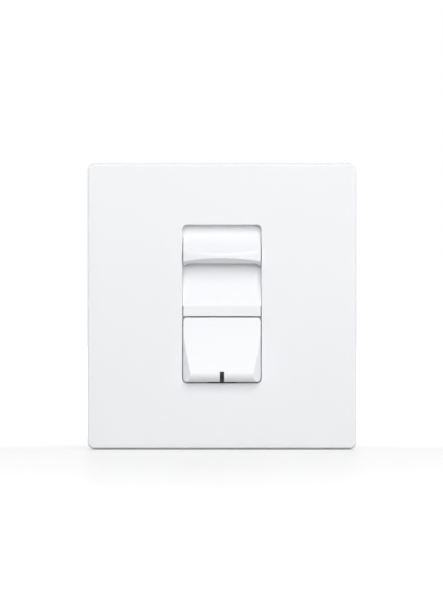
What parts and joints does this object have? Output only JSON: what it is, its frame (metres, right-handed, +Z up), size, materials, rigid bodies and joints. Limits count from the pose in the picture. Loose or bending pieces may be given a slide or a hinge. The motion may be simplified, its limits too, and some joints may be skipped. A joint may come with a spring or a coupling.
{
  "type": "dimmer switch",
  "caption": "Wall dimmer with a nearly square screwless plate, a wave-shaped slider in a concave channel and a wedge-shaped on/off paddle with a dark locator lens.",
  "frame": {"origin": "centre of the wall plate, in the plane of the wall, which is also the plane and centre of the pair of box screws", "axes": "+X to the right as seen from the room, +Z up, +Y into the wall along the box screws"},
  "size_m": [0.1076, 0.0437, 0.1142],
  "materials": {
    "white_plastic": "satin",
    "smoked_lens": "polished",
    "sink_aluminium": "satin",
    "zinc_plated_steel": "satin",
    "tinned_steel": "satin",
    "green_screw_steel": "satin",
    "spring_steel": "bright",
    "natural_nylon": "matte",
    "black_plastic": "matte",
    "track_laminate": "matte",
    "spring_bronze": "satin",
    "silvered_brass": "satin",
    "terminal_brass": "satin",
    "lamp_resin": "clear",
    "board_laminate": "satin",
    "mould_epoxy": "matte",
    "grey_pad": "matte",
    "coated_iron": "matte",
    "copper_wire": "bright",
    "capacitor_film": "satin",
    "resistor_coat": "satin",
    "diac_coat": "gloss"
  },
  "bodies": {
    "dimmer": {"face_plate": "white_plastic", "control_bezel": "white_plastic", "heat_sink": "sink_aluminium", "box_screws": "zinc_plated_steel", "bezel_screws": "zinc_plated_steel", "board_screws": "zinc_plated_steel", "triac_screw": "zinc_plated_steel", "housing_screws": "zinc_plated_steel", "slide_pot_can": "tinned_steel", "ground_strap": "tinned_steel", "ground_clamp": "tinned_steel", "strap_rivet": "tinned_steel", "ground_screw": "green_screw_steel", "paddle_springs": "spring_steel", "switch_spring": "spring_steel", "switch_can": "black_plastic", "back_housing": "black_plastic", "slide_pot_track": "track_laminate", "switch_contacts": "silvered_brass", "terminal_strips": "terminal_brass", "terminal_clamps": "terminal_brass", "terminal_screws": "terminal_brass", "locator_led": "lamp_resin", "circuit_board": "board_laminate", "triac": "mould_epoxy", "triac_insulator": "grey_pad", "choke_core": "coated_iron", "choke_winding": "copper_wire", "filter_capacitor": "capacitor_film", "timing_capacitor": "capacitor_film", "resistors": "resistor_coat", "diac": "diac_coat"},
    "slider": {"slider_knob": "white_plastic", "slider_carriage": "natural_nylon", "slide_pot_lever": "natural_nylon", "slide_pot_wiper": "spring_bronze"},
    "paddle": {"on_off_paddle": "white_plastic", "locator_lens": "smoked_lens"},
    "plunger": {"switch_plunger": "natural_nylon", "switch_bridge": "spring_bronze"}
  },
  "joints": [
    {"name": "slider_travel", "type": "slide", "parent": "dimmer", "child": "slider", "axis": [0, 0, 1], "range_m": [-0.012, 0]},
    {"name": "paddle_press", "type": "hinge", "parent": "dimmer", "child": "paddle", "pos_m": [0, -0.004, -0.00675], "axis": [1, 0, 0], "range_deg": [0, 3], "stiffness_Nm_per_rad": 0.2, "springref_deg": -1.15, "deforming": ["paddle_springs"]},
    {"name": "plunger_press", "type": "slide", "parent": "dimmer", "child": "plunger", "axis": [0, 1, 0], "range_m": [0, 0.00086], "deforming": ["switch_spring"]}
  ],
  "couplings": [
    {"joint": "plunger_press", "follows": "paddle_press", "m_per_rad": 0.016265}
  ]
}
